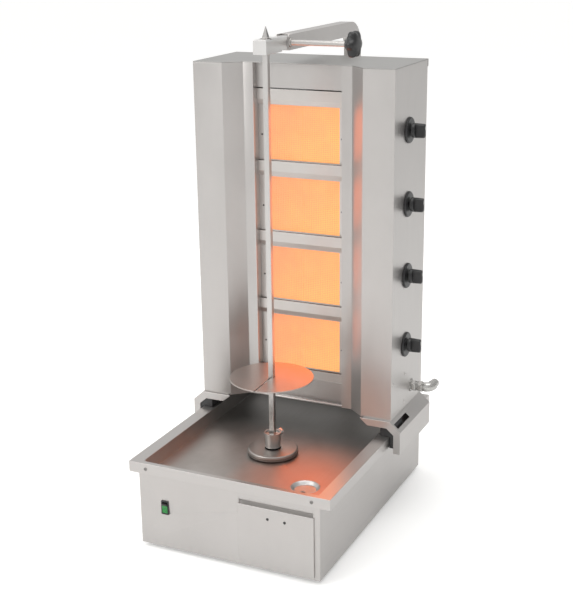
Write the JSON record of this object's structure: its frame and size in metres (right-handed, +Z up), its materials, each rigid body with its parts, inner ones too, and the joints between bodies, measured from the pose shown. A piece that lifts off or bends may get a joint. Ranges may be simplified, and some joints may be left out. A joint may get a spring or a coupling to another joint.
{
  "type": "vertical rotisserie broiler",
  "caption": "Countertop gas broiler: upright spit with a meat disc over a drip tray, and a sliding tower of radiant burners behind it.",
  "frame": {"origin": "on the floor that the machine stands on, in the middle between its four feet", "axes": "+X to the right, +Y from the front to the back, +Z up"},
  "size_m": [0.573, 0.7315, 1.133],
  "materials": {
    "satin_steel": "satin brushed",
    "tray_steel": "satin, slightly smoked",
    "bright_steel": "fine brushed, bright",
    "hidden_steel": "mill finish",
    "heat_steel": "heat stained",
    "black_plastic": "moulded",
    "knob_plastic": "satin",
    "foot_rubber": "matt",
    "switch_green": "gloss",
    "plaque_ceramic": "perforated, glowing",
    "guard_mesh": "woven, heat stained",
    "cast_metal": "cast",
    "motor_paint": "matt",
    "gear_steel": "machined, oiled",
    "fitting_brass": "nickel plated"
  },
  "bodies": {
    "base": {"base_shell": "satin_steel", "base_bottom_plate": "hidden_steel", "base_front_panel": "satin_steel", "rubber_feet": "foot_rubber", "drip_tray": "tray_steel", "drain_dish": "tray_steel", "gearbox_housing": "cast_metal", "gearbox_cover": "cast_metal", "gear_motor": "motor_paint", "switch_housing": "black_plastic", "drawer_runners": "hidden_steel", "cable_gland": "black_plastic", "post_bracket": "satin_steel", "arm_post": "satin_steel", "base_screws": "bright_steel"},
    "drawer": {"drawer_front": "satin_steel", "drawer_tub": "hidden_steel", "drawer_screws": "bright_steel"},
    "rocker": {"switch_rocker": "switch_green"},
    "spit": {"spit_rod": "bright_steel", "drive_hub": "bright_steel", "drip_cap": "tray_steel", "output_shaft": "gear_steel", "drive_gear": "gear_steel"},
    "pinion": {"motor_pinion": "gear_steel"},
    "disc": {"meat_disc": "tray_steel", "disc_collar": "bright_steel"},
    "hub_screw": {"hub_thumb_screw": "bright_steel"},
    "head": {"bearing_block": "bright_steel", "bearing_bush": "gear_steel"},
    "clamp": {"clamp_rod": "bright_steel", "star_knob": "knob_plastic"},
    "tower": {"tower_wing_left": "satin_steel", "tower_wing_right": "satin_steel", "tower_back_panel": "satin_steel", "tower_roof": "satin_steel", "tower_base_plate": "hidden_steel", "header_panel": "satin_steel", "lower_panel": "satin_steel", "burner_bars": "heat_steel", "burner_frames": "heat_steel", "burner_meshes": "guard_mesh", "ceramic_plaques": "plaque_ceramic", "burner_housings": "hidden_steel", "gas_manifold": "hidden_steel", "gas_valves": "fitting_brass", "knob_bezels": "knob_plastic", "gas_inlet": "fitting_brass", "carriage_left": "satin_steel", "carriage_right": "satin_steel", "slider_pads": "black_plastic", "tower_screws": "bright_steel"},
    "stem_1": {"valve_stem_1": "gear_steel"},
    "knob_1": {"burner_knob_1": "knob_plastic"},
    "stem_2": {"valve_stem_2": "gear_steel"},
    "knob_2": {"burner_knob_2": "knob_plastic"},
    "stem_3": {"valve_stem_3": "gear_steel"},
    "knob_3": {"burner_knob_3": "knob_plastic"},
    "stem_4": {"valve_stem_4": "gear_steel"},
    "knob_4": {"burner_knob_4": "knob_plastic"}
  },
  "joints": [
    {"name": "tower_slide", "type": "slide", "parent": "base", "child": "tower", "axis": [0, 1, 0], "range_m": [-0.03, 0.07]},
    {"name": "spit_spin", "type": "hinge", "parent": "base", "child": "spit", "pos_m": [0, -0.0835, 0.15], "axis": [0, 0, 1], "continuous": true},
    {"name": "pinion_spin", "type": "hinge", "parent": "base", "child": "pinion", "pos_m": [0, -0.0355, 0.128], "axis": [0, 0, 1], "continuous": true},
    {"name": "disc_slide", "type": "slide", "parent": "spit", "child": "disc", "axis": [0, 0, 1], "range_m": [-0.1, 0.7]},
    {"name": "hub_screw_turn", "type": "hinge", "parent": "spit", "child": "hub_screw", "pos_m": [0, -0.0835, 0.2145], "axis": [0.2588, 0.9659, 0], "range_deg": [-180, 180]},
    {"name": "head_swing", "type": "hinge", "parent": "base", "child": "head", "pos_m": [0, 0.006, 1.0925], "axis": [-1, 0, 0], "range_deg": [0, 90]},
    {"name": "clamp_turn", "type": "hinge", "parent": "base", "child": "clamp", "pos_m": [0, 0.006, 1.0925], "axis": [1, 0, 0], "range_deg": [-180, 180]},
    {"name": "drawer_slide", "type": "slide", "parent": "base", "child": "drawer", "axis": [0, -1, 0], "range_m": [0, 0.15]},
    {"name": "rocker_tilt", "type": "hinge", "parent": "base", "child": "rocker", "pos_m": [-0.155, -0.31, 0.107], "axis": [-1, 0, 0], "range_deg": [0, 16]},
    {"name": "knob_1_turn", "type": "hinge", "parent": "tower", "child": "stem_1", "pos_m": [0.243, 0.128, 0.4005], "axis": [1, 0, 0], "range_deg": [0, 135]},
    {"name": "knob_1_push", "type": "slide", "parent": "stem_1", "child": "knob_1", "axis": [-1, 0, 0], "range_m": [0, 0.003], "stiffness_N_per_m": 500},
    {"name": "knob_2_turn", "type": "hinge", "parent": "tower", "child": "stem_2", "pos_m": [0.243, 0.128, 0.5665], "axis": [1, 0, 0], "range_deg": [0, 135]},
    {"name": "knob_2_push", "type": "slide", "parent": "stem_2", "child": "knob_2", "axis": [-1, 0, 0], "range_m": [0, 0.003], "stiffness_N_per_m": 500},
    {"name": "knob_3_turn", "type": "hinge", "parent": "tower", "child": "stem_3", "pos_m": [0.243, 0.128, 0.7325], "axis": [1, 0, 0], "range_deg": [0, 135]},
    {"name": "knob_3_push", "type": "slide", "parent": "stem_3", "child": "knob_3", "axis": [-1, 0, 0], "range_m": [0, 0.003], "stiffness_N_per_m": 500},
    {"name": "knob_4_turn", "type": "hinge", "parent": "tower", "child": "stem_4", "pos_m": [0.243, 0.128, 0.8985], "axis": [1, 0, 0], "range_deg": [0, 135]},
    {"name": "knob_4_push", "type": "slide", "parent": "stem_4", "child": "knob_4", "axis": [-1, 0, 0], "range_m": [0, 0.003], "stiffness_N_per_m": 500}
  ],
  "couplings": [
    {"joint": "pinion_spin", "follows": "spit_spin", "ratio": -3}
  ]
}
